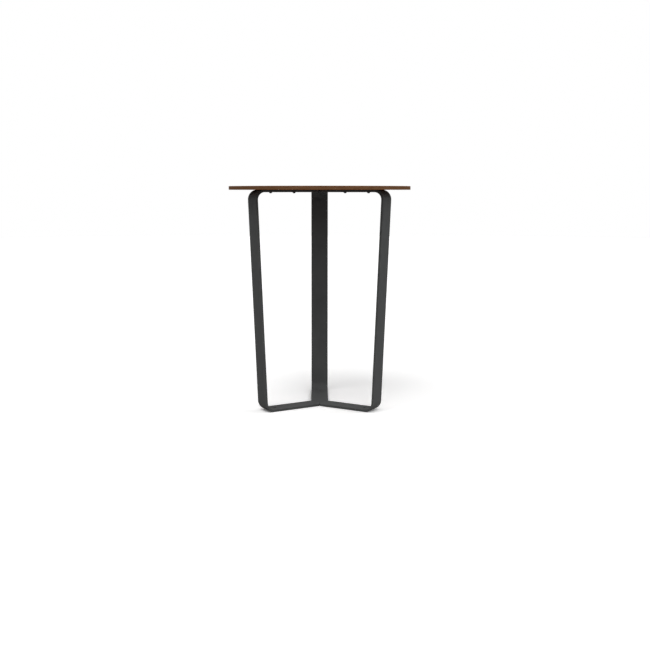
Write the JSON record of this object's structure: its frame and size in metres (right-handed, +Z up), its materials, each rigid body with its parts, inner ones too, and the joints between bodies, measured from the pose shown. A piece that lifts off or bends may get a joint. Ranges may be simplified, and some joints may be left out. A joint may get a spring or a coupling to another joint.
{
  "type": "round dining table",
  "caption": "Round dining table with a thin flat top on flat-bar legs, each bent into a C that leans in towards the floor, its arm and foot meeting the others at the centre.",
  "frame": {"origin": "on the floor, under the centre of the round top", "axes": "+Z up along the table's axis; +Y towards the back leg; +X to the right, between the front right leg and the back leg"},
  "size_m": [0.61, 0.6099, 0.75],
  "materials": {
    "woodgrain_laminate": "satin",
    "charcoal_coat": "satin",
    "black_steel": "satin",
    "brass": "satin"
  },
  "bodies": {
    "root": {"tabletop": "woodgrain_laminate", "leg_back": "charcoal_coat", "leg_front_left": "charcoal_coat", "leg_front_right": "charcoal_coat", "foot_joint_weld": "charcoal_coat", "arm_joint_weld": "charcoal_coat", "screw_back_inner": "black_steel", "screw_back_outer": "black_steel", "screw_front_left_inner": "black_steel", "screw_front_left_outer": "black_steel", "screw_front_right_inner": "black_steel", "screw_front_right_outer": "black_steel", "washer_back_inner": "black_steel", "washer_back_outer": "black_steel", "washer_front_left_inner": "black_steel", "washer_front_left_outer": "black_steel", "washer_front_right_inner": "black_steel", "washer_front_right_outer": "black_steel", "insert_back_inner": "brass", "insert_back_outer": "brass", "insert_front_left_inner": "brass", "insert_front_left_outer": "brass", "insert_front_right_inner": "brass", "insert_front_right_outer": "brass"}
  },
  "joints": []
}
